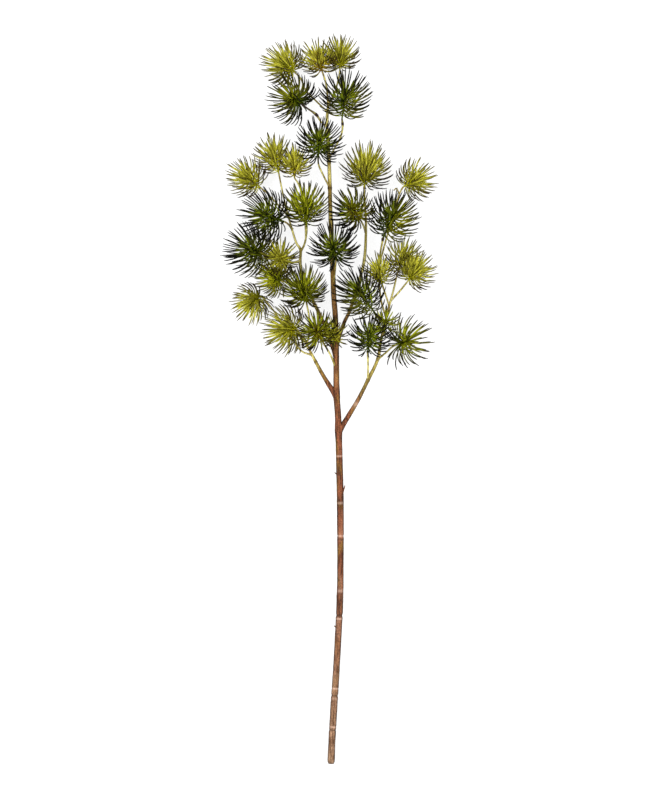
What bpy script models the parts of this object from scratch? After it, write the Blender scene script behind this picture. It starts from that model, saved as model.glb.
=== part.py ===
"""A cut pine branch that lies on a flat surface, seen from above.

Metres, +Z up. The branch lies along Y: the cut end of its stem is at -Y and its head of
needle tufts at +Y. The origin is below the middle of the branch, on the surface.

The wood is a main stem, four side branches and a thin twig for each tuft. Each fork is a
saddle cut: the smaller wood is cut away along the larger with a hair of room between them.
A needle tuft is a short shoot that bristles with spikes, which reach as far as its needles.
"""

import math
import random

import bmesh
import bpy
from mathutils import Vector
from mathutils.geometry import intersect_line_line, intersect_point_line

# Driving dimensions
BRANCH_LENGTH = 0.900
JOINT_GAP = 0.0003
MM = 0.001

# The outline picture: the branch stands in it from TIP_ROW down to CUT_ROW, and places on
# it are given as a column, a row, and a height above the surface in millimetres.
TIP_ROW = 34.0
CUT_ROW = 764.5
MIDDLE_ROW = 398.7
MIDDLE_COLUMN = 330.0
PICTURE_STEP = BRANCH_LENGTH / (CUT_ROW - TIP_ROW)

# Wood: name, what it grows from, and its route as (column, row, height mm, diameter mm)
# from its root to its tip. A side branch starts on the centre line of what it grows from.
STEM_ROUTE = (
    (331.0, 764.5, 4.55, 9.1), (332.1, 738, 5.6, 8.8), (334.2, 703, 7.5, 8.8),
    (336.4, 669, 9.5, 8.3), (338.9, 623, 12.5, 8.4), (339.9, 600, 14.0, 8.5),
    (340.4, 570, 16.0, 8.0), (340.3, 505, 20.0, 8.7), (339.1, 450, 24.0, 8.4),
    (338.0, 416, 26.5, 8.0), (336.6, 394, 28.0, 7.7), (336.2, 348, 31.0, 7.1),
    (335.3, 316, 33.0, 6.8), (333.8, 297, 34.5, 6.6), (332.8, 271, 36.0, 6.1),
    (331.0, 232, 37.5, 5.5), (330.2, 204, 38.5, 5.1), (329.2, 166, 39.5, 4.6),
    (327.0, 125, 40.0, 4.0), (328.0, 103, 40.0, 3.1), (326.0, 84, 39.5, 2.4),
    (322.4, 72, 39.5, 2.0),
)
BRANCHES = (
    ("left_branch", "main_stem", (
        (336.7, 396, 27.9, 6.5), (329.7, 386, 29.5, 5.9), (322.3, 374, 30.5, 4.9),
        (317.4, 365, 31.0, 4.1), (310, 351, 31.5, 3.3), (301, 335, 30.5, 2.5),
        (297, 329, 29.5, 2.2))),
    ("right_branch", "main_stem", (
        (338.6, 432, 25.3, 6.3), (349, 415, 27.0, 6.1), (358, 400, 28.5, 5.3),
        (368, 380, 31.0, 4.7), (377.6, 359.5, 33.5, 4.1), (381, 340, 35.5, 3.7),
        (388, 311, 37.0, 3.3), (390, 303, 37.0, 2.7), (394, 288, 32.0, 2.3),
        (397.4, 273, 27.0, 2.1))),
    ("middle_branch", "main_stem", (
        (336.2, 346, 31.1, 4.9), (344, 323, 27.5, 4.5), (350, 310, 26.0, 4.1),
        (358, 285, 26.0, 3.9), (364.4, 259, 27.0, 3.7), (366, 226, 29.0, 3.1),
        (365, 205, 31.0, 2.5), (364, 187, 32.0, 2.2))),
    ("upper_left_branch", "main_stem", (
        (336.3, 358, 30.4, 5.1), (328, 334, 27.5, 4.7), (319, 313, 26.0, 4.5),
        (313, 301, 26.0, 4.3), (306, 285, 27.0, 4.1), (300.4, 266, 29.0, 3.9),
        (300.4, 250, 30.0, 3.5), (295.6, 241, 30.0, 2.7), (288, 215, 30.0, 2.3),
        (282.7, 193, 29.5, 2.1), (279, 174, 28.0, 2.0))),
)
TWIGS = (
    (1, "main_stem", (
        (327.6, 112, 40.0, 2.2), (315, 100, 37.5, 2.1), (305.5, 90, 35.5, 2.0),
        (301, 79, 31.5, 1.9), (295, 72.5, 28.5, 1.9))),
    (3, "main_stem", (
        (328, 106, 40.0, 2.2), (335, 92, 36.0, 2.1), (338.5, 78, 34.0, 2.0),
        (340, 69.5, 31.0, 1.9))),
    (4, "main_stem", (
        (327, 127, 40.0, 2.3), (321, 122, 42.0, 2.3), (316.4, 115, 44.0, 2.7),
        (308, 109, 46.0, 2.2), (301, 104, 47.0, 2.0))),
    (5, "main_stem", (
        (328.9, 158, 39.6, 2.3), (336, 146, 42.5, 2.2), (341, 136, 45.0, 2.2),
        (342.6, 127, 47.0, 2.5), (342, 119, 48.0, 2.2))),
    (6, "main_stem", (
        (329.9, 188, 39.0, 2.5), (324.6, 178, 45.0, 2.2), (319, 166, 50.0, 2.2),
        (318, 158, 53.0, 2.2))),
    (12, "upper_left_branch", (
        (300.4, 252, 29.9, 2.7), (304.5, 244, 34.0, 2.5), (306.5, 234, 42.0, 2.3),
        (307, 227, 48.0, 2.2))),
    (8, "twig_12", (
        (305.9, 237, 39.4, 2.1), (304.5, 215, 38.0, 2.0), (301.5, 194, 42.0, 2.0),
        (298.3, 184, 45.0, 2.0), (294.5, 178, 47.0, 1.9))),
    (9, "upper_left_branch", (
        (288.6, 217, 30.0, 2.2), (280, 207, 27.0, 2.1), (268, 194, 26.0, 2.0),
        (261, 188, 26.0, 1.9))),
    (13, "upper_left_branch", (
        (292.2, 229, 30.0, 2.5), (288, 224, 38.0, 2.3), (284, 221.5, 41.0, 2.2))),
    (14, "middle_branch", (
        (365.8, 232, 28.6, 2.7), (363.5, 226, 36.0, 2.3), (361, 221, 42.0, 2.2))),
    (15, "right_branch", (
        (386.3, 318, 36.6, 2.7), (381, 300, 31.0, 2.5), (379, 275, 30.0, 2.4),
        (380, 256, 35.0, 2.3), (383, 238, 44.0, 2.5))),
    (11, "twig_15", (
        (379.6, 264, 32.6, 2.3), (386, 240, 30.0, 2.2), (393, 216, 28.0, 2.1),
        (399, 195, 26.5, 2.1), (403, 187, 25.0, 2.1))),
    (16, "upper_left_branch", (
        (300.4, 261, 29.3, 2.7), (290, 262.5, 30.0, 2.5), (280, 260, 30.0, 2.3),
        (270, 257, 30.0, 2.3))),
    (17, "twig_16", (
        (287.5, 262.2, 30.4, 2.2), (284, 264, 38.0, 2.1), (281.5, 262, 43.0, 2.1))),
    (18, "upper_left_branch", (
        (305.4, 283, 27.2, 2.5), (295, 283, 26.0, 2.3), (286, 282, 25.5, 2.1),
        (281, 281, 25.5, 2.1))),
    (19, "left_branch", (
        (312, 355, 31.4, 2.5), (303, 352, 28.5, 2.2), (297, 346, 25.5, 2.2),
        (288, 332, 19.0, 2.1), (276, 314, 16.5, 2.1), (266, 301, 18.0, 2.1),
        (260.5, 295.5, 20.0, 2.1))),
    (20, "left_branch", (
        (306.8, 345.3, 31.4, 2.5), (309.5, 330, 36.0, 2.3), (309, 316, 42.0, 2.2),
        (306.5, 303, 46.0, 2.2))),
    (22, "main_stem", (
        (336.4, 370, 29.5, 2.7), (331, 356, 36.0, 2.3), (324, 344, 43.0, 2.3),
        (320.5, 338, 48.0, 2.2))),
    (23, "main_stem", (
        (333.3, 284, 35.2, 2.7), (334.5, 276, 42.0, 2.3), (335.5, 266, 48.0, 2.3),
        (336, 260, 52.0, 2.2))),
    (24, "right_branch", (
        (385.3, 322, 36.4, 2.7), (380.5, 319, 42.0, 2.5), (376.5, 315, 47.0, 2.7))),
    (25, "right_branch", (
        (389.3, 306, 37.0, 2.3), (386, 296, 40.0, 2.2), (382.6, 286, 43.0, 2.1))),
    (27, "right_branch", (
        (390.5, 301, 36.6, 2.3), (399, 292, 36.0, 2.3), (408, 281, 36.0, 2.1))),
    (28, "right_branch", (
        (368, 380, 31.0, 2.7), (368, 365, 38.0, 2.3), (367.7, 351, 45.0, 2.5))),
    (29, "right_branch", (
        (377.6, 359.5, 33.5, 2.7), (386, 352.5, 29.5, 2.3), (392, 347, 25.0, 2.2),
        (398, 344, 21.5, 2.2))),
)

# Needle tufts: number, what carries it at its end, its middle as (column, row, height mm),
# the reach of its needles in mm, and their tone.
TUFTS = (
    (1, "twig_01", (283, 63, 23), 29, "light"), (2, "main_stem", (318, 58, 42), 25, "light"),
    (3, "twig_03", (339, 54, 28), 26, "light"), (4, "twig_04", (292.5, 98, 48), 32, "dark"),
    (5, "twig_05", (345.5, 94.5, 50), 32, "dark"), (6, "twig_06", (320, 141, 64), 30, "dark"),
    (7, "upper_left_branch", (273, 152.5, 22), 25, "light"),
    (8, "twig_08", (295, 161.5, 50), 22, "light"), (9, "twig_09", (246, 175.5, 23), 26, "light"),
    (10, "middle_branch", (367, 167, 28), 32, "light"),
    (11, "twig_11", (417, 179, 22), 26, "light"), (12, "twig_12", (305, 204, 58), 29, "mid"),
    (13, "twig_13", (264, 215, 47), 33, "dark"), (14, "twig_14", (352, 209, 52), 29, "dark"),
    (15, "twig_15", (394, 215, 55), 32, "dark"), (16, "twig_16", (250, 249, 30), 35, "dark"),
    (17, "twig_17", (280, 257, 55), 24, "light"), (18, "twig_18", (274, 276.5, 22), 26, "mid"),
    (19, "twig_19", (251, 303, 22), 26, "light"), (20, "twig_20", (303, 288, 54), 30, "mid"),
    (21, "left_branch", (286, 330, 27), 32, "light"), (22, "twig_22", (317, 331, 60), 27, "mid"),
    (23, "twig_23", (333.5, 247, 62), 32, "dark"), (24, "twig_24", (358, 291, 57), 32, "dark"),
    (25, "twig_25", (379, 270, 49), 23, "light"), (26, "right_branch", (404, 256, 21), 25, "light"),
    (27, "twig_27", (416, 270, 38), 26, "light"), (28, "twig_28", (370, 335, 57), 28, "dark"),
    (29, "twig_29", (406, 341.5, 26), 33, "mid"), (30, "main_stem", (332.5, 333, 50), 21, "light"),
    (31, "right_branch", (386, 321, 51), 20, "mid"),
)

# Tufts that sit straight on the side of the wood, and where their shoots start
SIDE_SHOOTS = {
    30: (335.7, 341, 35.7),
    31: (383.0, 331, 39.0),
}

# Roundness of the wood: the steps of a quarter turn, and the angle from which an edge is sharp
BARK_RESOLUTION = 2
SHARP_ANGLE = math.radians(50)

# A tuft's shoot and spikes, as shares of the reach of its needles
SHOOT_LENGTH = 0.62
SHOOT_RADIUS = 0.14
SHOOT_SUBDIVISIONS = 2
SPIKE_LEAN = 0.22
BARE_BACK = -0.70
SPIKE_SHORTEST = 0.98
SPIKE_LONGEST = 1.08

# The least length of a spike, the half width of its foot, and the room that it keeps, in metres
SPIKE_LEAST = 0.0035
SPIKE_FOOT = 0.0018
CLEARANCE = 0.0004

# A spike is tried against the wood at this many places, and one that would touch it is drawn
# back by this share of its length.
WOOD_TRIALS = 10
WOOD_ROOM = 0.25

# Colour, roughness
FINISHES = {
    "bark": ((0.235, 0.105, 0.052), 0.72),
    "green_wood": ((0.250, 0.190, 0.045), 0.60),
    "needles_light": ((0.230, 0.235, 0.022), 0.48),
    "needles_mid": ((0.110, 0.130, 0.016), 0.48),
    "needles_dark": ((0.042, 0.060, 0.012), 0.48),
}


def place(column, row, height):
    """A place of the outline picture, at a height in mm, as a point in metres."""
    return Vector((
        (column - MIDDLE_COLUMN) * PICTURE_STEP,
        (MIDDLE_ROW - row) * PICTURE_STEP,
        height * MM,
    ))


def clear_scene():
    for item in list(bpy.data.objects):
        bpy.data.objects.remove(item, do_unlink=True)


def new_collection(name):
    collection = bpy.data.collections.new(name)
    bpy.context.scene.collection.children.link(collection)
    return collection


def make_material(name, colour, roughness):
    material = bpy.data.materials.new(name)
    material.use_nodes = True
    shader = material.node_tree.nodes["Principled BSDF"]
    shader.inputs["Base Color"].default_value = (*colour, 1.0)
    shader.inputs["Roughness"].default_value = roughness
    shader.inputs["Metallic"].default_value = 0.0
    material.diffuse_color = (*colour, 1.0)
    return material


def make_wood(name, route, collection, material=None, swell=0.0):
    """A round tapering piece of wood along a route, as a closed mesh with welded caps."""
    curve = bpy.data.curves.new(name, "CURVE")
    curve.dimensions = "3D"
    curve.bevel_depth = 1.0
    curve.bevel_resolution = BARK_RESOLUTION
    curve.use_fill_caps = True
    spline = curve.splines.new("POLY")
    spline.points.add(len(route) - 1)
    for point, (column, row, height, diameter) in zip(spline.points, route):
        point.co = (*place(column, row, height), 1.0)
        point.radius = diameter * MM / 2 + swell
    guide = bpy.data.objects.new(name + "_guide", curve)
    collection.objects.link(guide)
    evaluated = guide.evaluated_get(bpy.context.evaluated_depsgraph_get())
    mesh = bpy.data.meshes.new_from_object(evaluated)
    mesh.name = name
    shape = bmesh.new()
    shape.from_mesh(mesh)
    bmesh.ops.remove_doubles(shape, verts=shape.verts, dist=JOINT_GAP / 10)
    bmesh.ops.recalc_face_normals(shape, faces=shape.faces)
    shape.to_mesh(mesh)
    shape.free()
    wood = bpy.data.objects.new(name, mesh)
    wood.matrix_world = guide.matrix_world
    collection.objects.link(wood)
    bpy.data.objects.remove(guide, do_unlink=True)
    if material:
        mesh.materials.append(material)
        mesh.shade_smooth()
        mesh.set_sharp_from_angle(angle=SHARP_ANGLE)
    return wood


def saddle_cut(wood, cutter):
    """Cuts the root of a branch to the round of the wood that it grows from."""
    cut = wood.modifiers.new("saddle", "BOOLEAN")
    cut.operation = "DIFFERENCE"
    cut.solver = "EXACT"
    cut.object = cutter


def wood_spans():
    """Every straight span of wood, as its two ends and its radius."""
    routes = [STEM_ROUTE]
    routes += [route for _, _, route in BRANCHES]
    routes += [route for _, _, route in TWIGS]
    for route in routes:
        for first, last in zip(route, route[1:]):
            thickest = max(first[3], last[3]) / 2 * MM
            yield place(*first[:3]), place(*last[:3]), thickest


def nearest_on_span(point, start, end):
    nearest, share = intersect_point_line(point, start, end)
    if share < 0.0:
        return start
    if share > 1.0:
        return end
    return nearest


def shoot_ends(root, middle, reach):
    """The two ends of a tuft's shoot, which runs from its root past its middle."""
    along = (middle - root).normalized()
    return root, root + along * SHOOT_LENGTH * reach


def parting_plane(shoot, other):
    """The plane halfway between two shoots: a point on it, and its side away from the first."""
    near, far = shoot[1], other[1]
    lines = intersect_line_line(*shoot, *other)
    if lines:
        far = nearest_on_span(lines[1], *other)
        near = nearest_on_span(far, *shoot)
        far = nearest_on_span(near, *other)
    return (near + far) / 2, (far - near).normalized()


def trim_to_plane(foot, tip, on_plane, away):
    """Draws a spike's tip back so that it stays on the near side of a plane."""
    past = (tip - on_plane).dot(away) + CLEARANCE
    if past <= 0.0:
        return tip
    length_across = (tip - foot).dot(away)
    if length_across <= 0.0:
        return foot
    return foot + (tip - foot) * max(0.0, 1.0 - past / length_across)


def trim_to_wood(foot, tip, spans):
    """Draws a spike's tip back so that it ends before any wood it would run into."""
    for trial in range(1, WOOD_TRIALS + 1):
        share = trial / WOOD_TRIALS
        sample = foot.lerp(tip, share)
        half_width = SPIKE_FOOT * (1.0 - share)
        for start, end, radius in spans:
            room = (sample - nearest_on_span(sample, start, end)).length - radius
            if room < half_width + CLEARANCE:
                return foot.lerp(tip, max(0.0, share - WOOD_ROOM))
    return tip


def make_tuft(name, root, middle, reach, carrier, planes, spans, collection, material):
    """A shoot with spikes all round it, apart from its back, where the twig comes in.

    carrier is the direction and the radius of the wood's end that the shoot sits on.
    """
    start, end = shoot_ends(root, middle, reach)
    along = (end - start).normalized()
    direction, radius = carrier
    seat = JOINT_GAP + radius * direction.cross(along).length
    shoot_middle = (start + end) / 2 + along * seat / 2
    half_length = ((end - start).length - seat) / 2
    turn = along.to_track_quat("Z", "Y")
    rng = random.Random(name)
    shape = bmesh.new()
    bmesh.ops.create_icosphere(shape, subdivisions=SHOOT_SUBDIVISIONS, radius=1.0)
    bristling = [face for face in shape.faces if face.normal.z > BARE_BACK]
    feet = bmesh.ops.poke(shape, faces=bristling)["verts"]
    size = Vector((SHOOT_RADIUS * reach, SHOOT_RADIUS * reach, half_length))
    directions = {vert: vert.co.normalized() for vert in feet}
    for vert in shape.verts:
        vert.co = shoot_middle + turn @ (vert.co * size)
    for vert, outward in directions.items():
        lean = outward + Vector((0.0, 0.0, SPIKE_LEAN))
        length = reach * rng.uniform(SPIKE_SHORTEST, SPIKE_LONGEST)
        tip = middle + turn @ (lean.normalized() * length)
        tip.z = max(tip.z, 0.0)
        for on_plane, away in planes:
            tip = trim_to_plane(vert.co, tip, on_plane, away)
        tip = trim_to_wood(vert.co, tip, spans)
        if (tip - vert.co).length > SPIKE_LEAST:
            vert.co = tip
    for vert in shape.verts:
        vert.co -= root
    mesh = bpy.data.meshes.new(name)
    shape.to_mesh(mesh)
    shape.free()
    mesh.materials.append(material)
    tuft = bpy.data.objects.new(name, mesh)
    tuft.location = root
    collection.objects.link(tuft)


def make_all_wood(collection, cutters, finishes):
    """The stem, its branches and their twigs, each cut to the wood that it grows from."""
    make_wood("main_stem", STEM_ROUTE, collection, finishes["bark"])
    routes = {"main_stem": STEM_ROUTE}
    saddles = {}
    children = [(name, parent, route, "bark") for name, parent, route in BRANCHES]
    children += [(f"twig_{number:02d}", parent, route, "green_wood")
                 for number, parent, route in TWIGS]
    for name, parent, route, finish in children:
        wood = make_wood(name, route, collection, finishes[finish])
        routes[name] = route
        if parent not in saddles:
            cutter = make_wood(parent + "_saddle", routes[parent], cutters, swell=JOINT_GAP)
            cutter.hide_render = True
            cutter.display_type = "WIRE"
            saddles[parent] = cutter
        saddle_cut(wood, saddles[parent])
    return routes


def make_all_tufts(collection, routes, finishes):
    """Every tuft, kept on its own side of the plane between it and each of its neighbours."""
    ends = {}
    shoots = {}
    for number, carrier, middle, reach, _ in TUFTS:
        if number in SIDE_SHOOTS:
            root = place(*SIDE_SHOOTS[number])
            direction = (place(*middle) - root).normalized()
            radius = 0.0
        else:
            route = routes[carrier]
            root = place(*route[-1][:3])
            direction = (root - place(*route[-2][:3])).normalized()
            radius = route[-1][3] * MM / 2
        ends[number] = (root, direction, radius)
        shoots[number] = shoot_ends(root, place(*middle), reach * MM)
    spans = list(wood_spans())
    for number, _, middle, reach, tone in TUFTS:
        root, direction, radius = ends[number]
        planes = [parting_plane(shoots[number], shoots[other])
                  for other in shoots if other != number]
        make_tuft(f"tuft_{number:02d}", root, place(*middle), reach * MM, (direction, radius),
                  planes, spans, collection, finishes["needles_" + tone])


def main():
    clear_scene()
    finishes = {name: make_material(name, *finish) for name, finish in FINISHES.items()}
    branch = new_collection("pine_branch")
    cutters = new_collection("saddle_cutters")
    routes = make_all_wood(branch, cutters, finishes)
    make_all_tufts(branch, routes, finishes)


main()
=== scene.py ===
"""The looks of a cut pine branch that lies on a pale floor, seen from above.

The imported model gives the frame. Every node is replaced by a finer piece in the same place:
the wood by tubes of bark that flow into each other at the forks, and each tuft by its needles.
"""
import math
import random

import bpy
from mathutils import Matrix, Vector, noise


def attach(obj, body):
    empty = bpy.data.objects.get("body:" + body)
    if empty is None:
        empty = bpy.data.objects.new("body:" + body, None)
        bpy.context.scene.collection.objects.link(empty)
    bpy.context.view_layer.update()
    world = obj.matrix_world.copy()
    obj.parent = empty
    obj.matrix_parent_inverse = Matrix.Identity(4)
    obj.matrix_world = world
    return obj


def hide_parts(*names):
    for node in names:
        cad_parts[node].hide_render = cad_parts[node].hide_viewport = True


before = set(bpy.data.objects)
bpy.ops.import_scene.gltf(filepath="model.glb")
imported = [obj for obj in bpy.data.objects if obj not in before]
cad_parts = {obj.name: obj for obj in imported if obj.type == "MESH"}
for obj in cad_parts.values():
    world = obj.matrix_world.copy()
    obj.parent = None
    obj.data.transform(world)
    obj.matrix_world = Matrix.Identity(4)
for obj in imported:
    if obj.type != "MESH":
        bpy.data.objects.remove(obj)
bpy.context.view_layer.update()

BODY = "root"
MM = 0.001

# The outline picture: the branch stands in it from TIP_ROW down to CUT_ROW, and places on
# it are given as a column, a row, and a height above the floor in millimetres.
BRANCH_LENGTH = 0.900
TIP_ROW = 34.0
CUT_ROW = 764.5
MIDDLE_ROW = 398.7
MIDDLE_COLUMN = 330.0
PICTURE_STEP = BRANCH_LENGTH / (CUT_ROW - TIP_ROW)
PICTURE_SIZE = (672, 800)

# Wood: name, what it grows from, and its route as (column, row, height mm, diameter mm)
# from its root to its tip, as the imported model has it.
STEM_ROUTE = (
    (331.0, 764.5, 4.55, 9.1), (332.1, 738, 5.6, 8.8), (334.2, 703, 7.5, 8.8),
    (336.4, 669, 9.5, 8.3), (338.9, 623, 12.5, 8.4), (339.9, 600, 14.0, 8.5),
    (340.4, 570, 16.0, 8.0), (340.3, 505, 20.0, 8.7), (339.1, 450, 24.0, 8.4),
    (338.0, 416, 26.5, 8.0), (336.6, 394, 28.0, 7.7), (336.2, 348, 31.0, 7.1),
    (335.3, 316, 33.0, 6.8), (333.8, 297, 34.5, 6.6), (332.8, 271, 36.0, 6.1),
    (331.0, 232, 37.5, 5.5), (330.2, 204, 38.5, 5.1), (329.2, 166, 39.5, 4.6),
    (327.0, 125, 40.0, 4.0), (328.0, 103, 40.0, 3.1), (326.0, 84, 39.5, 2.4),
    (322.4, 72, 39.5, 2.0),
)
BRANCHES = (
    ("left_branch", "main_stem", (
        (336.7, 396, 27.9, 6.5), (329.7, 386, 29.5, 5.9), (322.3, 374, 30.5, 4.9),
        (317.4, 365, 31.0, 4.1), (310, 351, 31.5, 3.3), (301, 335, 30.5, 2.5),
        (297, 329, 29.5, 2.2))),
    ("right_branch", "main_stem", (
        (338.6, 432, 25.3, 6.3), (349, 415, 27.0, 6.1), (358, 400, 28.5, 5.3),
        (368, 380, 31.0, 4.7), (377.6, 359.5, 33.5, 4.1), (381, 340, 35.5, 3.7),
        (388, 311, 37.0, 3.3), (390, 303, 37.0, 2.7), (394, 288, 32.0, 2.3),
        (397.4, 273, 27.0, 2.1))),
    ("middle_branch", "main_stem", (
        (336.2, 346, 31.1, 4.9), (344, 323, 27.5, 4.5), (350, 310, 26.0, 4.1),
        (358, 285, 26.0, 3.9), (364.4, 259, 27.0, 3.7), (366, 226, 29.0, 3.1),
        (365, 205, 31.0, 2.5), (364, 187, 32.0, 2.2))),
    ("upper_left_branch", "main_stem", (
        (336.3, 358, 30.4, 5.1), (328, 334, 27.5, 4.7), (319, 313, 26.0, 4.5),
        (313, 301, 26.0, 4.3), (306, 285, 27.0, 4.1), (300.4, 266, 29.0, 3.9),
        (300.4, 250, 30.0, 3.5), (295.6, 241, 30.0, 2.7), (288, 215, 30.0, 2.3),
        (282.7, 193, 29.5, 2.1), (279, 174, 28.0, 2.0))),
)
TWIGS = (
    (1, "main_stem", (
        (327.6, 112, 40.0, 2.2), (315, 100, 37.5, 2.1), (305.5, 90, 35.5, 2.0),
        (301, 79, 31.5, 1.9), (295, 72.5, 28.5, 1.9))),
    (3, "main_stem", (
        (328, 106, 40.0, 2.2), (335, 92, 36.0, 2.1), (338.5, 78, 34.0, 2.0),
        (340, 69.5, 31.0, 1.9))),
    (4, "main_stem", (
        (327, 127, 40.0, 2.3), (321, 122, 42.0, 2.3), (316.4, 115, 44.0, 2.7),
        (308, 109, 46.0, 2.2), (301, 104, 47.0, 2.0))),
    (5, "main_stem", (
        (328.9, 158, 39.6, 2.3), (336, 146, 42.5, 2.2), (341, 136, 45.0, 2.2),
        (342.6, 127, 47.0, 2.5), (342, 119, 48.0, 2.2))),
    (6, "main_stem", (
        (329.9, 188, 39.0, 2.5), (324.6, 178, 45.0, 2.2), (319, 166, 50.0, 2.2),
        (318, 158, 53.0, 2.2))),
    (12, "upper_left_branch", (
        (300.4, 252, 29.9, 2.7), (304.5, 244, 34.0, 2.5), (306.5, 234, 42.0, 2.3),
        (307, 227, 48.0, 2.2))),
    (8, "twig_12", (
        (305.9, 237, 39.4, 2.1), (304.5, 215, 38.0, 2.0), (301.5, 194, 42.0, 2.0),
        (298.3, 184, 45.0, 2.0), (294.5, 178, 47.0, 1.9))),
    (9, "upper_left_branch", (
        (288.6, 217, 30.0, 2.2), (280, 207, 27.0, 2.1), (268, 194, 26.0, 2.0),
        (261, 188, 26.0, 1.9))),
    (13, "upper_left_branch", (
        (292.2, 229, 30.0, 2.5), (288, 224, 38.0, 2.3), (284, 221.5, 41.0, 2.2))),
    (14, "middle_branch", (
        (365.8, 232, 28.6, 2.7), (363.5, 226, 36.0, 2.3), (361, 221, 42.0, 2.2))),
    (15, "right_branch", (
        (386.3, 318, 36.6, 2.7), (381, 300, 31.0, 2.5), (379, 275, 30.0, 2.4),
        (380, 256, 35.0, 2.3), (383, 238, 44.0, 2.5))),
    (11, "twig_15", (
        (379.6, 264, 32.6, 2.3), (386, 240, 30.0, 2.2), (393, 216, 28.0, 2.1),
        (399, 195, 26.5, 2.1), (403, 187, 25.0, 2.1))),
    (16, "upper_left_branch", (
        (300.4, 261, 29.3, 2.7), (290, 262.5, 30.0, 2.5), (280, 260, 30.0, 2.3),
        (270, 257, 30.0, 2.3))),
    (17, "twig_16", (
        (287.5, 262.2, 30.4, 2.2), (284, 264, 38.0, 2.1), (281.5, 262, 43.0, 2.1))),
    (18, "upper_left_branch", (
        (305.4, 283, 27.2, 2.5), (295, 283, 26.0, 2.3), (286, 282, 25.5, 2.1),
        (281, 281, 25.5, 2.1))),
    (19, "left_branch", (
        (312, 355, 31.4, 2.5), (303, 352, 28.5, 2.2), (297, 346, 25.5, 2.2),
        (288, 332, 19.0, 2.1), (276, 314, 16.5, 2.1), (266, 301, 18.0, 2.1),
        (260.5, 295.5, 20.0, 2.1))),
    (20, "left_branch", (
        (306.8, 345.3, 31.4, 2.5), (309.5, 330, 36.0, 2.3), (309, 316, 42.0, 2.2),
        (306.5, 303, 46.0, 2.2))),
    (22, "main_stem", (
        (336.4, 370, 29.5, 2.7), (331, 356, 36.0, 2.3), (324, 344, 43.0, 2.3),
        (320.5, 338, 48.0, 2.2))),
    (23, "main_stem", (
        (333.3, 284, 35.2, 2.7), (334.5, 276, 42.0, 2.3), (335.5, 266, 48.0, 2.3),
        (336, 260, 52.0, 2.2))),
    (24, "right_branch", (
        (385.3, 322, 36.4, 2.7), (380.5, 319, 42.0, 2.5), (376.5, 315, 47.0, 2.7))),
    (25, "right_branch", (
        (389.3, 306, 37.0, 2.3), (386, 296, 40.0, 2.2), (382.6, 286, 43.0, 2.1))),
    (27, "right_branch", (
        (390.5, 301, 36.6, 2.3), (399, 292, 36.0, 2.3), (408, 281, 36.0, 2.1))),
    (28, "right_branch", (
        (368, 380, 31.0, 2.7), (368, 365, 38.0, 2.3), (367.7, 351, 45.0, 2.5))),
    (29, "right_branch", (
        (377.6, 359.5, 33.5, 2.7), (386, 352.5, 29.5, 2.3), (392, 347, 25.0, 2.2),
        (398, 344, 21.5, 2.2))),
)

# Needle tufts: number, what carries it at its end, its middle as (column, row, height mm),
# the reach of its needles in mm, and their tone.
TUFTS = (
    (1, "twig_01", (283, 63, 23), 29, "light"),
    (2, "main_stem", (318, 58, 42), 25, "light"),
    (3, "twig_03", (339, 54, 28), 26, "light"), (4, "twig_04", (292.5, 98, 48), 32, "dark"),
    (5, "twig_05", (345.5, 94.5, 50), 32, "dark"), (6, "twig_06", (320, 141, 64), 30, "dark"),
    (7, "upper_left_branch", (273, 152.5, 22), 25, "light"),
    (8, "twig_08", (295, 161.5, 50), 22, "light"), (9, "twig_09", (246, 175.5, 23), 26, "light"),
    (10, "middle_branch", (367, 167, 28), 32, "light"),
    (11, "twig_11", (417, 179, 22), 26, "light"), (12, "twig_12", (305, 204, 58), 29, "mid"),
    (13, "twig_13", (264, 215, 47), 33, "dark"), (14, "twig_14", (352, 209, 52), 29, "dark"),
    (15, "twig_15", (394, 215, 55), 32, "dark"), (16, "twig_16", (250, 249, 30), 35, "dark"),
    (17, "twig_17", (280, 257, 55), 24, "light"), (18, "twig_18", (274, 276.5, 22), 26, "mid"),
    (19, "twig_19", (251, 303, 22), 26, "light"), (20, "twig_20", (303, 288, 54), 30, "mid"),
    (21, "left_branch", (286, 330, 27), 32, "light"), (22, "twig_22", (317, 331, 60), 27, "mid"),
    (23, "twig_23", (333.5, 247, 62), 32, "dark"), (24, "twig_24", (358, 291, 57), 32, "dark"),
    (25, "twig_25", (379, 270, 49), 23, "light"),
    (26, "right_branch", (404, 256, 21), 25, "light"),
    (27, "twig_27", (416, 270, 38), 26, "light"), (28, "twig_28", (370, 335, 57), 28, "dark"),
    (29, "twig_29", (406, 341.5, 26), 33, "mid"), (30, "main_stem", (332.5, 333, 50), 21, "light"),
    (31, "right_branch", (386, 321, 51), 20, "mid"),
)

# Tufts that sit straight on the side of the wood, and where their shoots start
SIDE_SHOOTS = {
    30: (335.7, 341, 35.7),
    31: (383.0, 331, 39.0),
}

# Lengths here are in metres or in shares of a tuft's reach. Each tuft has full needles all
# round and young ones at its heart: how many of both, in a tuft of unit reach.
UNIT_REACH = 0.028
NEEDLE_COUNTS = {"light": (88, 66), "mid": (92, 32), "dark": (86, 18)}
# The two sets of needles: the cosine of the angle from the shoot to the needles set furthest
# back, the least and the most reach, how young the first of them are, and how far along
# their colours their tips get
FULL_NEEDLES = (-0.74, 0.97, 1.14, 0.0, 1.0)
YOUNG_NEEDLES = (-0.10, 0.42, 0.76, 0.5, 0.68)
NEEDLE_RADII = {"light": 0.00066, "mid": 0.00074, "dark": 0.00075}
# The least and the most that a needle's radius is of its tone's
NEEDLE_GIRTHS = (0.85, 1.10)
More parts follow.
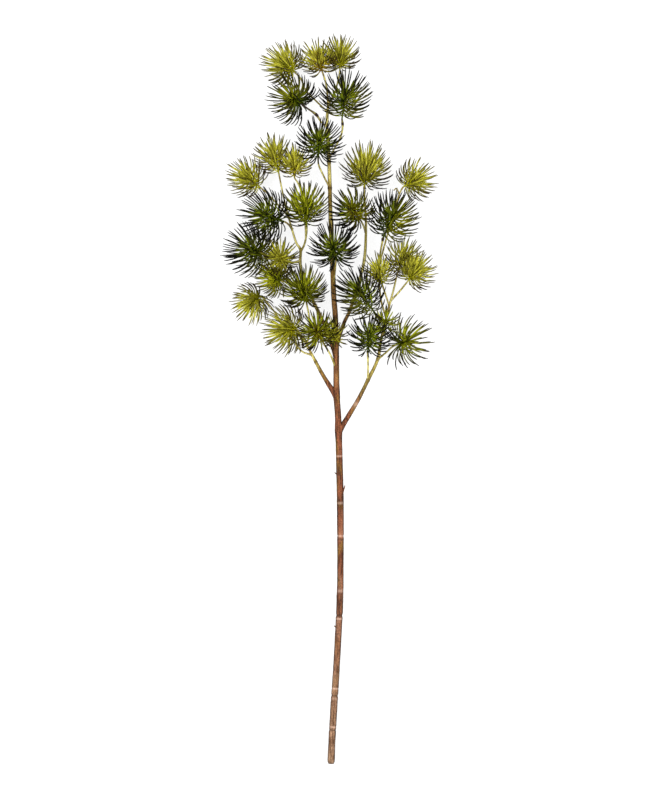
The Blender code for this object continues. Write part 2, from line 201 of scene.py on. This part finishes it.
# The rings of a needle: their points, where they are along it, and how wide they are
NEEDLE_SIDES = 5
NEEDLE_RINGS = (0.0, 0.11, 0.24, 0.38, 0.52, 0.66, 0.79, 0.90, 0.97)
NEEDLE_WIDTHS = (0.72, 0.80, 0.88, 0.96, 1.03, 1.08, 1.06, 0.90, 0.50)
# The turn from needle to needle, and how far each strays from its place and its youth
GOLDEN_ANGLE = math.pi * (3.0 - math.sqrt(5.0))
COSINE_SPREAD = 0.05
TURN_SPREAD = 0.25
YOUTH_SPREAD = 0.2
# Where the needles sit on the shoot: the lowest seat, and how they crowd to its end
LOWEST_SEAT = 0.06
SEAT_CROWDING = 0.55
# How a needle bends, as shares of its length: outward, back along the shoot at least, and
# more so the further it stands out, and any way at random
OUTWARD_BEND = 0.04
LEAST_BACK_BEND = 0.12
MORE_BACK_BEND = 0.24
STRAY_BEND = 0.05
# The shoot in the middle of a tuft
SHOOT_RADIUS = 0.0014
SHOOT_PAST_MIDDLE = 0.12
SHOOT_SHADE = 0.5
SHOOT_YOUTH = 0.7
# The least height of a needle's middle line above the floor
FLOOR_ROOM = 0.0007

# The least and the most light on a full needle of each tone, and on a young one
SHADES = {"light": (0.24, 0.80), "mid": (0.08, 0.95), "dark": (0.0, 1.0)}
YOUNG_SHADES = {"light": (0.52, 0.90), "mid": (0.32, 0.95), "dark": (0.28, 1.0)}
# The share of a young needle's length where it starts to darken, and over how much of it
YOUNG_DARKENS = {"light": 0.66, "mid": 0.66, "dark": 0.48}
DARKENING = 0.16
# How much lighter and darker whole bunches of needles are, how small the bunches are, and how
# far apart the tufts are in the noise that makes them
BUNCH_SHADES = {"light": 0.10, "mid": 0.45, "dark": 0.62}
BUNCH_SCALE = 1.5
BUNCH_STEP = 3.7

# Tufts with fewer or more needles than others: how many times as many
FULLNESS = {4: 1.06, 5: 1.10, 6: 1.06, 12: 1.10, 14: 1.10, 15: 1.16, 20: 1.20, 25: 0.80,
            26: 0.85, 29: 0.62, 30: 0.70, 31: 0.50}
# Tufts with a fuller heart than others: how many times as many young needles
HEARTS = {1: 1.3, 3: 1.3, 10: 1.6, 12: 1.4, 17: 1.5, 18: 1.7, 27: 1.3}
# Tufts with a reddish heart, and how reddish
BLUSHES = {2: 0.75, 8: 0.30, 14: 0.30, 17: 0.14, 22: 0.40}
# Tufts with painted sunlight or painted shade on one side: the direction of that side in the
# picture, and how much sunlight is painted there, or how much shade where that is below 0
PAINTED_TUFT_SIDES = {
    4: ((-0.8, 0.5), 0.45), 5: ((0.5, -0.8), 0.35), 10: ((0.0, -0.9), -0.8),
    14: ((0.6, 0.7), 0.4), 15: ((0.9, -0.4), 0.60), 16: ((0.9, -0.3), 0.3),
    18: ((-0.3, -0.3), 0.5), 19: ((0.7, 0.7), -0.6), 24: ((-0.4, -0.9), 0.25),
}
NO_SIDE = ((0.0, 0.0), 0.0)
# How far such a side reaches past the middle of its tuft
SIDE_OVERLAP = 0.35
# Tufts that are lighter or darker than others of their tone, as a share of the whole range
LIGHTENED = {1: -0.02, 3: -0.05, 6: 0.08, 14: 0.15, 15: -0.04, 17: -0.10, 18: 0.28,
             19: 0.05, 20: -0.12, 22: -0.12, 25: -0.06, 29: -0.18}


def srgb(red, green, blue):
    """A colour as a screen shows it, 0 to 255, as the linear values that a shader takes.

    The numbers are those of the sRGB curve.
    """
    def linear(value):
        share = value / 255.0
        if share <= 0.04045:
            return share / 12.92
        return ((share + 0.055) / 1.055) ** 2.4
    return (linear(red), linear(green), linear(blue), 1.0)


def place(column, row, height):
    """A place of the outline picture, at a height in mm, as a point in metres."""
    return Vector((
        (column - MIDDLE_COLUMN) * PICTURE_STEP,
        (MIDDLE_ROW - row) * PICTURE_STEP,
        height * MM,
    ))


def smooth_route(route, spacing):
    """Points and radii along the smooth curve through a route, about spacing apart."""
    points = [place(*stop[:3]) for stop in route]
    radii = [stop[3] * MM / 2 for stop in route]
    padded = [points[0] * 2 - points[1]] + points + [points[-1] * 2 - points[-2]]
    path = []
    widths = []
    for index in range(len(points) - 1):
        before, start, end, after = padded[index:index + 4]
        steps = max(2, round((end - start).length / spacing))
        for step in range(steps):
            t = step / steps
            path.append(0.5 * ((2 * start) + (end - before) * t
                               + (2 * before - 5 * start + 4 * end - after) * t ** 2
                               + (3 * start - before - 3 * end + after) * t ** 3))
            ease = t * t * (3 - 2 * t)
            widths.append(radii[index] * (1 - ease) + radii[index + 1] * ease)
    path.append(points[-1])
    widths.append(radii[-1])
    return path, widths


def ring_frames(path):
    """Two directions across the path at each of its points, turning as little as they can."""
    side = Vector((0.0, 0.0, 1.0))
    frames = []
    for index, point in enumerate(path):
        ahead = path[min(index + 1, len(path) - 1)]
        behind = path[max(index - 1, 0)]
        along = (ahead - behind).normalized()
        across = (side - along * side.dot(along)).normalized()
        frames.append((across, along.cross(across)))
        side = across
    return frames


class Shape:
    """Points, faces and per-point values that grow into one mesh."""

    def __init__(self, *values):
        self.points = []
        self.faces = []
        self.values = {name: [] for name in values}

    def add_point(self, point, **values):
        self.points.append(tuple(point))
        for name, column in self.values.items():
            column.append(values.get(name, 0.0))
        return len(self.points) - 1

    def add_tube(self, rings, close_start=None, close_end=None):
        """Joins rings of point numbers, and closes the ends on a middle point if given."""
        sides = len(rings[0])
        for near, far in zip(rings, rings[1:]):
            for side in range(sides):
                after = (side + 1) % sides
                self.faces.append((near[side], near[after], far[after], far[side]))
        for side in range(sides):
            after = (side + 1) % sides
            if close_start is not None:
                self.faces.append((close_start, rings[0][after], rings[0][side]))
            if close_end is not None:
                self.faces.append((close_end, rings[-1][side], rings[-1][after]))

    def build(self, name, material):
        mesh = bpy.data.meshes.new(name)
        mesh.from_pydata(self.points, [], self.faces)
        mesh.materials.append(material)
        for value_name, column in self.values.items():
            attribute = mesh.attributes.new(value_name, "FLOAT", "POINT")
            attribute.data.foreach_set("value", column)
        mesh.polygons.foreach_set("use_smooth", [True] * len(mesh.polygons))
        mesh.update()
        piece = bpy.data.objects.new(name, mesh)
        bpy.context.scene.collection.objects.link(piece)
        return piece


def declare(piece, node):
    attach(piece, BODY)
    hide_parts(node)


# Node materials

def new_material(name, roughness, specular):
    material = bpy.data.materials.new(name)
    material.use_nodes = True
    shader = material.node_tree.nodes["Principled BSDF"]
    shader.inputs["Roughness"].default_value = roughness
    shader.inputs["Specular IOR Level"].default_value = specular
    return material, material.node_tree, shader


def add_value(tree, name):
    node = tree.nodes.new("ShaderNodeAttribute")
    node.attribute_name = name
    return node.outputs["Fac"]


def add_noise(tree, scale, detail, stretch=(1.0, 1.0, 1.0)):
    coordinates = tree.nodes.new("ShaderNodeTexCoord")
    mapping = tree.nodes.new("ShaderNodeMapping")
    mapping.inputs["Scale"].default_value = stretch
    texture = tree.nodes.new("ShaderNodeTexNoise")
    texture.inputs["Scale"].default_value = scale
    texture.inputs["Detail"].default_value = detail
    tree.links.new(coordinates.outputs["Object"], mapping.inputs["Vector"])
    tree.links.new(mapping.outputs["Vector"], texture.inputs["Vector"])
    return texture.outputs["Fac"]


def add_ramp(tree, factor, stops):
    node = tree.nodes.new("ShaderNodeValToRGB")
    elements = node.color_ramp.elements
    while len(elements) < len(stops):
        elements.new(0.5)
    for element, (position, colour) in zip(elements, stops):
        element.position = position
        element.color = colour
    tree.links.new(factor, node.inputs["Fac"])
    return node.outputs["Color"]


def add_mix(tree, factor, first, second, blend="MIX"):
    node = tree.nodes.new("ShaderNodeMix")
    node.data_type = "RGBA"
    node.blend_type = blend
    for socket, value in (("Factor", factor), ("A", first), ("B", second)):
        target = next(s for s in node.inputs if s.name == socket and s.enabled)
        if isinstance(value, (float, tuple)):
            target.default_value = value
        else:
            tree.links.new(value, target)
    return next(s for s in node.outputs if s.enabled)


def add_bump(tree, shader, height, strength, distance):
    node = tree.nodes.new("ShaderNodeBump")
    node.inputs["Strength"].default_value = strength
    node.inputs["Distance"].default_value = distance
    tree.links.new(height, node.inputs["Height"])
    tree.links.new(node.outputs["Normal"], shader.inputs["Normal"])


def grey(value):
    return (value, value, value, 1.0)


def wood_material(name):
    """Bark: tan at the cut end, red-brown up the stem, olive and yellow on young wood.

    The value age runs from 0 at the cut end to 1 on the youngest twigs; pale and dark are
    near 1 where a ring or a knot is; the painted shade value is 1 on the sides and the
    underside of the wood, which get painted shade, and 0 on top, which gets a painted
    highlight; and end is 1 in the middle of the cut face.
    """
    material, tree, shader = new_material(name, roughness=0.68, specular=0.12)
    age = add_value(tree, "age")
    base = add_ramp(tree, age, (
        (0.00, srgb(130, 102, 80)), (0.18, srgb(103, 66, 44)), (0.32, srgb(98, 54, 32)),
        (0.50, srgb(106, 59, 36)), (0.62, srgb(110, 85, 40)), (0.74, srgb(150, 136, 68)),
        (0.86, srgb(190, 180, 110)), (1.00, srgb(170, 161, 84))))
    shadow = add_ramp(tree, age, (
        (0.00, srgb(74, 50, 32)), (0.30, srgb(58, 28, 13)), (0.60, srgb(50, 27, 8)),
        (0.80, srgb(112, 98, 40)), (1.00, srgb(104, 96, 36))))
    # Dark streaks along the wood, lighter patches, ochre patches on all but the oldest wood
    streaks = add_noise(tree, scale=420.0, detail=4.0, stretch=(1.0, 0.12, 1.0))
    streak_share = add_ramp(tree, streaks, ((0.40, grey(0.0)), (0.60, grey(1.0))))
    colour = add_mix(tree, streak_share, shadow, base)
    patches = add_noise(tree, scale=95.0, detail=3.0, stretch=(1.0, 0.35, 1.0))
    patch_share = add_ramp(tree, patches, ((0.52, grey(0.0)), (0.72, grey(0.60))))
    light = add_ramp(tree, age, (
        (0.00, srgb(146, 120, 96)), (0.45, srgb(128, 78, 56)), (0.65, srgb(118, 106, 50)),
        (1.00, srgb(186, 180, 108))))
    colour = add_mix(tree, patch_share, colour, light)
    moss = add_noise(tree, scale=60.0, detail=2.0, stretch=(1.0, 0.5, 1.0))
    moss_share = add_ramp(tree, moss, ((0.50, grey(0.0)), (0.62, grey(0.65))))
    grown = add_ramp(tree, age, ((0.05, grey(0.1)), (0.30, grey(1.0))))
    moss_share = add_mix(tree, 1.0, moss_share, grown, "MULTIPLY")
    colour = add_mix(tree, moss_share, colour, srgb(98, 72, 20))
    # Grains, pale rings, painted shade on the sides and a painted highlight on top of the wood,
    # dark knots, and the cut face
    grains = add_noise(tree, scale=800.0, detail=3.0)
    grain_shade = add_ramp(tree, grains, ((0.36, grey(0.50)), (0.62, grey(1.30))))
    colour = add_mix(tree, 1.0, colour, grain_shade, "MULTIPLY")
    colour = add_mix(tree, add_value(tree, "pale"), colour, srgb(200, 170, 152))
    # Painted shade on the sides and underside of the wood, and a painted highlight on its top
    flanks = add_ramp(tree, add_value(tree, "flank"), ((0.0, grey(1.14)), (1.0, grey(0.36))))
    colour = add_mix(tree, 1.0, colour, flanks, "MULTIPLY")
    colour = add_mix(tree, add_value(tree, "dark"), colour, srgb(34, 20, 10))
    colour = add_mix(tree, add_value(tree, "end"), colour, srgb(146, 108, 72))
    tree.links.new(colour, shader.inputs["Base Color"])
    add_bump(tree, shader, streaks, strength=0.6, distance=0.0005)
    return material


def needle_material(name, heart, bright, middle, tip, young_darkens):
    """Needles: bright where they spring from the shoot, darker to their tips.

    The young needles in front stay bright along their length; the old ones behind don't.
    """
    material, tree, shader = new_material(name, roughness=0.5, specular=0.04)
    along = add_value(tree, "along")
    old = add_ramp(tree, along, (
        (0.00, heart), (0.20, heart), (0.45, middle), (0.68, tip), (1.00, tip)))
    young = add_ramp(tree, along, (
        (0.00, heart), (0.35, bright), (young_darkens, bright),
        (young_darkens + DARKENING, middle), (0.98, tip)))
    youth = add_ramp(tree, add_value(tree, "youth"), ((0.30, grey(0.0)), (0.70, grey(1.0))))
    colour = add_mix(tree, youth, old, young)
    near_heart = add_ramp(tree, along, ((0.1, grey(1.0)), (0.52, grey(0.0))))
    blush = add_mix(tree, 1.0, near_heart, add_value(tree, "blush"), "MULTIPLY")
    colour = add_mix(tree, blush, colour, srgb(116, 72, 14))
    # Painted sunlight: olive yellow on one side of some tufts, short of the needles' tips
    before_tip = add_ramp(tree, along, ((0.6, grey(1.0)), (0.95, grey(0.0))))
    sun = add_mix(tree, 1.0, before_tip, add_value(tree, "sun"), "MULTIPLY")
    colour = add_mix(tree, sun, colour, srgb(124, 122, 16))
    # Each needle's lightness: a random tone, and painted shade on one side of some tufts
    shade = add_ramp(tree, add_value(tree, "shade"), (
        (0.0, grey(0.16)), (0.5, grey(0.78)), (1.0, grey(1.75))))
    colour = add_mix(tree, 1.0, colour, shade, "MULTIPLY")
    mottle = add_noise(tree, scale=260.0, detail=2.0)
    mottle_shade = add_ramp(tree, mottle, ((0.35, grey(0.80)), (0.65, grey(1.12))))
    colour = add_mix(tree, 1.0, colour, mottle_shade, "MULTIPLY")
    tree.links.new(colour, shader.inputs["Base Color"])
    add_bump(tree, shader, mottle, strength=0.2, distance=0.0002)
    return material


FLOOR_GLOW = 0.78


def floor_material():
    """Pale paper with a light of its own, as on a light table, so that shadows stay faint."""
    material, tree, shader = new_material("floor_paper", roughness=0.9, specular=0.1)
    grain = add_noise(tree, scale=60.0, detail=2.0)
    tree.links.new(add_ramp(tree, grain, ((0.3, grey(0.215)), (0.7, grey(0.225)))),
                   shader.inputs["Base Color"])
    shader.inputs["Emission Color"].default_value = grey(1.0)
    shader.inputs["Emission Strength"].default_value = FLOOR_GLOW
    return material


# Wood

# Ages of the stem's wood, as rows of (picture row, age), from the cut end up
STEM_AGE = ((764.5, 0.0), (690, 0.10), (620, 0.22), (540, 0.34), (420, 0.50), (300, 0.58),
            (240, 0.66), (200, 0.74), (160, 0.88), (72, 0.95))
# Ages of the other wood, as rows of (share of its length that is left, age)
BRANCH_AGES = {
    "left_branch": ((1.0, 0.46), (0.70, 0.56), (0.45, 0.80), (0.0, 0.92)),
    "right_branch": ((1.0, 0.46), (0.80, 0.54), (0.62, 0.72), (0.0, 0.95)),
    "middle_branch": ((1.0, 0.50), (0.80, 0.62), (0.60, 0.84), (0.0, 0.94)),
    "upper_left_branch": ((1.0, 0.50), (0.80, 0.60), (0.60, 0.84), (0.0, 0.96)),
}
TWIG_AGES = ((1.0, 0.86), (0.0, 1.0))

# Marks round the wood: row, narrowing as a share of the radius, half width mm, paleness,
# darkness. The first table is the stem's; the others belong to branches and twigs.
STEM_MARKS = (
    (456, 0.04, 1.0, 0.45, 0.0), (459, 0.0, 1.5, 0.0, 0.60),
    (536, 0.12, 1.2, 0.40, 0.0), (539.5, -0.03, 1.4, 0.0, 0.60),
    (591, 0.02, 2.2, 0.25, 0.0), (615.5, 0.14, 1.5, 0.0, 0.65), (619, -0.05, 1.2, 0.48, 0.0),
    (689, 0.06, 1.0, 0.52, 0.0), (696, 0.14, 1.3, 0.0, 0.60), (699, -0.03, 1.5, 0.20, 0.0),
    (727.5, 0.05, 1.1, 0.42, 0.0), (730.5, 0.12, 1.3, 0.0, 0.60),
    (764.8, 0.28, 2.3, 0.0, 0.85),
    (430, -0.16, 9.0, 0.0, 0.0), (395, -0.10, 8.0, 0.0, 0.10), (503, 0.0, 1.5, 0.30, 0.0),
    (188, -0.18, 2.2, 0.0, 0.70), (162, -0.25, 2.2, 0.0, 0.75),
)
MARKS = {
    "left_branch": ((362, -0.12, 1.5, 0.0, 0.40),),
    "right_branch": ((380, -0.15, 1.8, 0.0, 0.45), (359, -0.15, 1.8, 0.0, 0.35),
                     (404, 0.0, 3.0, 0.35, 0.0)),
    "middle_branch": ((260, -0.12, 1.6, 0.0, 0.40),),
    "upper_left_branch": ((262, -0.12, 1.8, 0.0, 0.35), (229, -0.15, 1.8, 0.0, 0.30)),
    "twig_04": ((115, -0.50, 2.6, 0.0, 1.20), (106, 0.0, 12.0, 0.0, 1.10)),
    "twig_05": ((124, -0.50, 2.8, 0.0, 1.20), (118, 0.0, 6.0, 0.0, 1.05)),
    "twig_15": ((239, -0.55, 2.6, 0.0, 1.20),),
    "twig_24": ((316, -0.45, 2.4, 0.0, 1.20),),
    "twig_28": ((351, -0.45, 2.4, 0.0, 1.20),),
}

# Short spurs on the wood: what they stand on, their route, and how dark they are
SPURS = (
    ("main_stem", ((337.0, 628, 14.5, 2.2), (334.0, 626, 15.5, 1.4)), 0.7),
    ("main_stem", ((337.6, 475, 24.0, 2.2), (334.6, 472.5, 25.0, 1.3)), 0.6),
    ("main_stem", ((342.0, 495, 22.5, 2.4), (345.0, 485.5, 24.0, 1.4)), 0.4),
    ("twig_11", ((399.2, 194, 26.5, 1.9), (396.6, 188.5, 28.5, 1.7), (393.6, 190.5, 29.5, 1.4)),
     0.0),
)

WOOD_VALUES = ("age", "pale", "dark", "flank", "end")
BARK_SIDES = 28
BARK_SPACING = 0.0006
BRANCH_SIDES = 20
BRANCH_SPACING = 0.0010
BRANCH_FLARE = 0.55
TWIG_SIDES = 14
TWIG_SPACING = 0.0012
TWIG_FLARE = 0.45
SPUR_SPACING = 0.0005
# How far a flare runs up the wood, in radii
FLARE_LENGTH = 2.2
# Bumps of the bark, as a share of the radius; how close together the large and the small ones
# are, across and along the wood; and how high the small ones are next to the large ones
BUMP_HEIGHT = 0.05
LARGE_BUMPS = (2.2, 60)
SMALL_BUMPS = (6, 220)
SMALL_BUMP_SHARE = 0.6
# How uneven the pale and the dark marks are
PALE_MIDDLE = 0.70
PALE_CHANGE = 0.60
PALE_SCALE = 1.7
DARK_CHANGE = 0.45
DARK_SCALE = 2.3
# How far up the painted shade on the flanks of the wood reaches, as the upward part of the
# bark's direction, and over how much of it it fades
PAINTED_SHADE_TOP = 0.90
PAINTED_SHADE_FADE = 0.5
# How far apart two branches and two twigs are in the noise of the bark
BRANCH_SEED = 10.0
TWIG_SEED = 7.0


def between(table, value):
    """Reads a table of (position, result) rows that run down in position."""
    for (high, first), (low, last) in zip(table, table[1:]):
        if value >= low:
            share = (high - value) / (high - low)
            return first + (last - first) * min(1.0, max(0.0, share))
    return table[-1][1]


def row_of(point):
    return MIDDLE_ROW - point.y / PICTURE_STEP


def flank(outward):
    """Painted shade: 1 on the sides and the underside of the wood, and 0 on top of it."""
    return min(1.0, max(0.0, (PAINTED_SHADE_TOP - outward.z) / PAINTED_SHADE_FADE))


def bark_spot(outward, travelled, bumps, seed):
    """A place in the noise of the bark, for bumps of the given closeness."""
    across, along = bumps
    return Vector((outward.x * across, outward.z * across, travelled * along + seed))


def add_wood(shape, route, sides, spacing, ages, marks=(), flare=0.0, seed=0.0,
             darkness=0.0):
    """A tube of bark along a route, with a flare at its root and bumps all over."""
    path, radii = smooth_route(route, spacing)
    frames = ring_frames(path)
    travelled = 0.0
    total = sum((b - a).length for a, b in zip(path, path[1:]))
    loops = []
    for index, (point, radius, (across, over)) in enumerate(zip(path, radii, frames)):
        if index:
            travelled += (point - path[index - 1]).length
        share = travelled / total
        row = row_of(point)
        age = ages(row, share)
        radius *= 1.0 + flare * math.exp(-travelled / (radius * FLARE_LENGTH))
        pale = 0.0
        dark = darkness
        for mark_row, narrowing, half_width, paleness, mark_darkness in marks:
            distance = (row - mark_row) * PICTURE_STEP / MM / half_width
            bell = math.exp(-distance * distance)
            radius *= 1.0 - narrowing * bell
            pale = max(pale, paleness * bell)
            dark = max(dark, mark_darkness * bell)
        loop = []
        for side in range(sides):
            angle = 2 * math.pi * side / sides
            outward = across * math.cos(angle) + over * math.sin(angle)
            spot = bark_spot(outward, travelled, LARGE_BUMPS, seed)
            small_spot = bark_spot(outward, travelled, SMALL_BUMPS, seed)
            bump = noise.noise(spot) + SMALL_BUMP_SHARE * noise.noise(small_spot)
            uneven_pale = PALE_MIDDLE + PALE_CHANGE * noise.noise(spot * PALE_SCALE)
            uneven_dark = 1.0 + DARK_CHANGE * noise.noise(spot * DARK_SCALE)
            # Each point carries how much painted shade its side of the bark gets
            loop.append(shape.add_point(
                point + outward * radius * (1.0 + BUMP_HEIGHT * bump), age=age,
                pale=pale * uneven_pale, dark=dark * uneven_dark, flank=flank(outward)))
        loops.append(loop)
    start = shape.add_point(path[0], age=ages(row_of(path[0]), 0.0), end=1.0)
    end = shape.add_point(path[-1], age=ages(row_of(path[-1]), 1.0), dark=darkness)
    shape.add_tube(loops, start, end)


def stem_ages(row, share):
    return between(STEM_AGE, row)


def ages_from(table):
    return lambda row, share: between(table, 1.0 - share)


def add_spurs(shape, name, ages):
    for carrier, route, darkness in SPURS:
        if carrier == name:
            add_wood(shape, route, TWIG_SIDES, SPUR_SPACING, ages, darkness=darkness)


def make_stem(material):
    shape = Shape(*WOOD_VALUES)
    add_wood(shape, STEM_ROUTE, BARK_SIDES, BARK_SPACING, stem_ages, STEM_MARKS)
    add_spurs(shape, "main_stem", stem_ages)
    piece = shape.build("stem_bark", material)
    declare(piece, "main_stem")


def make_branches(material):
    for number, (name, _, route) in enumerate(BRANCHES):
        shape = Shape(*WOOD_VALUES)
        add_wood(shape, route, BRANCH_SIDES, BRANCH_SPACING, ages_from(BRANCH_AGES[name]),
                 MARKS[name], flare=BRANCH_FLARE, seed=BRANCH_SEED * number)
        piece = shape.build(name + "_bark", material)
        declare(piece, name)


def make_twigs(material):
    for number, _, route in TWIGS:
        name = f"twig_{number:02d}"
        shape = Shape(*WOOD_VALUES)
        ages = ages_from(TWIG_AGES)
        add_wood(shape, route, TWIG_SIDES, TWIG_SPACING, ages, MARKS.get(name, ()),
                 flare=TWIG_FLARE, seed=TWIG_SEED * number)
        add_spurs(shape, name, ages)
        piece = shape.build(name + "_bark", material)
        declare(piece, name)


# Needle tufts

def bend(start, control, tip, share):
    """A point on the curve from start to tip that leans towards control."""
    return (start * (1 - share) ** 2 + control * (2 * share * (1 - share)) + tip * share ** 2)


def add_needle(shape, start, control, tip, radius, ripeness=1.0, **values):
    """One needle; ripeness is how far along its colours it gets at its tip."""
    path = [bend(start, control, tip, share) for share in NEEDLE_RINGS]
    frames = ring_frames(path)
    loops = []
    for point, share, width, (across, over) in zip(path, NEEDLE_RINGS, NEEDLE_WIDTHS, frames):
        loop = []
        for side in range(NEEDLE_SIDES):
            angle = 2 * math.pi * side / NEEDLE_SIDES
            outward = across * math.cos(angle) + over * math.sin(angle)
            loop.append(shape.add_point(point + outward * radius * width,
                                        along=share * ripeness, **values))
        loops.append(loop)
    first = shape.add_point(start, along=0.0, **values)
    last = shape.add_point(tip, along=ripeness, **values)
    shape.add_tube(loops, first, last)


def above_floor(point):
    return Vector((point.x, point.y, max(point.z, FLOOR_ROOM)))


def make_tuft(number, root, middle, reach, tone, material):
    """A shoot with needles set round it in a spiral, and shorter young ones at its heart."""
    name = f"tuft_{number:02d}"
    rng = random.Random(name)
    along = (middle - root).normalized()
    turn = along.to_track_quat("Z", "Y")
    shape = Shape("along", "shade", "youth", "blush", "sun")
    blush = BLUSHES.get(number, 0.0)
    lightened = LIGHTENED.get(number, 0.0)
    side, painted_side_light = PAINTED_TUFT_SIDES.get(number, NO_SIDE)
    shoot_end = middle + along * SHOOT_PAST_MIDDLE * reach
    add_needle(shape, root, (root + shoot_end) / 2, shoot_end, SHOOT_RADIUS,
               shade=SHOOT_SHADE, youth=SHOOT_YOUTH, blush=blush)
    full_count, young_count = NEEDLE_COUNTS[tone]
    for unit_count, heart, needles, shades in (
            (full_count, 1.0, FULL_NEEDLES, SHADES[tone]),
            (young_count, HEARTS.get(number, 1.0), YOUNG_NEEDLES, YOUNG_SHADES[tone])):
        back, shortest, longest, youngest, ripeness = needles
        count = round(unit_count * FULLNESS.get(number, 1.0) * reach / UNIT_REACH * heart)
        for index in range(count):
            share = (index + 0.5) / count
            strayed = rng.uniform(-COSINE_SPREAD, COSINE_SPREAD)
            cosine = min(1.0, back + (1.0 - back) * share + strayed)
            sine = math.sqrt(1.0 - cosine * cosine)
            angle = index * GOLDEN_ANGLE + rng.uniform(-TURN_SPREAD, TURN_SPREAD)
            spread = turn @ Vector((math.cos(angle) * sine, math.sin(angle) * sine, cosine))
            around = turn @ Vector((math.cos(angle), math.sin(angle), 0.0))
            seat = LOWEST_SEAT + (1.0 - LOWEST_SEAT) * share ** SEAT_CROWDING
            start = root.lerp(shoot_end, seat) + around * SHOOT_RADIUS * 0.5
            tip = middle + spread * reach * rng.uniform(shortest, longest)
            length = (tip - start).length
            control = start.lerp(tip, 0.5)
            back_bend = LEAST_BACK_BEND + MORE_BACK_BEND * sine
            control += (around * OUTWARD_BEND - along * back_bend) * length
            control += Vector([rng.uniform(-1, 1) for _ in range(3)]) * length * STRAY_BEND
            youth = youngest + (1.0 - youngest) * share
            youth += rng.uniform(-YOUTH_SPREAD, YOUTH_SPREAD)
            spot = spread * BUNCH_SCALE + Vector((BUNCH_STEP * number, 0.0, 0.0))
            bunch = noise.noise(spot)
            shade = rng.uniform(*shades) + lightened + BUNCH_SHADES[tone] * bunch
            # Painted sunlight or shade on needles that point to the tuft's painted side
            facing = spread.x * side[0] + spread.y * side[1] + SIDE_OVERLAP
            facing = min(1.0, max(0.0, facing))
            add_needle(shape, start, above_floor(control), above_floor(tip),
                       NEEDLE_RADII[tone] * rng.uniform(*NEEDLE_GIRTHS),
                       ripeness=ripeness,
                       shade=max(0.0, shade * (1.0 + min(0.0, painted_side_light) * facing)),
                       youth=min(1.0, max(0.0, youth)), blush=blush,
                       sun=max(0.0, painted_side_light) * facing)
    piece = shape.build(name + "_needles", material)
    declare(piece, name)


def make_tufts(materials):
    routes = {"main_stem": STEM_ROUTE}
    routes.update({name: route for name, _, route in BRANCHES})
    routes.update({f"twig_{number:02d}": route for number, _, route in TWIGS})
    for number, carrier, middle, reach, tone in TUFTS:
        root = place(*SIDE_SHOOTS.get(number, routes[carrier][-1][:3]))
        make_tuft(number, root, place(*middle), reach * MM, tone, materials[tone])


# Floor, light, camera

FLOOR_SIZE = 12.0
SKY_STRENGTH = 1.9
# Lights: name, place, size, power
LIGHTS = (
    ("key_light", (-1.4, 0.9, 2.8), 1.6, 70.0),
    ("fill_light", (1.6, -0.8, 2.6), 2.6, 30.0),
)
LENS = 600.0
SENSOR = 36.0
VIEW_HEIGHT = 0.034
FAR_CLIP = 100.0


def make_floor():
    bpy.ops.mesh.primitive_plane_add(size=FLOOR_SIZE, location=(0.0, 0.0, 0.0))
    floor = bpy.context.object
    floor.name = "floor"
    floor.data.materials.append(floor_material())


def make_light():
    world = bpy.data.worlds.new("studio")
    world.use_nodes = True
    background = world.node_tree.nodes["Background"]
    background.inputs["Color"].default_value = (1.0, 1.0, 1.0, 1.0)
    background.inputs["Strength"].default_value = SKY_STRENGTH
    bpy.context.scene.world = world
    for name, location, size, power in LIGHTS:
        data = bpy.data.lights.new(name, "AREA")
        data.size = size
        data.energy = power
        light = bpy.data.objects.new(name, data)
        light.location = location
        light.rotation_euler = (-Vector(location)).to_track_quat("-Z", "Y").to_euler()
        bpy.context.scene.collection.objects.link(light)


def make_camera():
    data = bpy.data.cameras.new("camera")
    data.lens = LENS
    data.sensor_width = SENSOR
    data.clip_end = FAR_CLIP
    camera = bpy.data.objects.new("camera", data)
    width, height = PICTURE_SIZE
    distance = height * PICTURE_STEP * LENS / SENSOR
    camera.location = place(width / 2, height / 2, 0) + Vector((0, 0, VIEW_HEIGHT + distance))
    bpy.context.scene.collection.objects.link(camera)
    bpy.context.scene.camera = camera
    bpy.context.scene.view_settings.view_transform = "Standard"


def main():
    wood = wood_material("bark")
    tones = {
        "light": needle_material("needles_light", srgb(152, 149, 6), srgb(151, 148, 44),
                                 srgb(94, 89, 20), srgb(44, 33, 9), YOUNG_DARKENS["light"]),
        "mid": needle_material("needles_mid", srgb(94, 102, 5), srgb(124, 128, 20),
                               srgb(62, 58, 10), srgb(22, 17, 5), YOUNG_DARKENS["mid"]),
        "dark": needle_material("needles_dark", srgb(54, 67, 4), srgb(92, 101, 15),
                                srgb(20, 19, 4), srgb(8, 6, 3), YOUNG_DARKENS["dark"]),
    }
    make_stem(wood)
    make_branches(wood)
    make_twigs(wood)
    make_tufts(tones)
    make_floor()
    make_light()
    make_camera()


main()
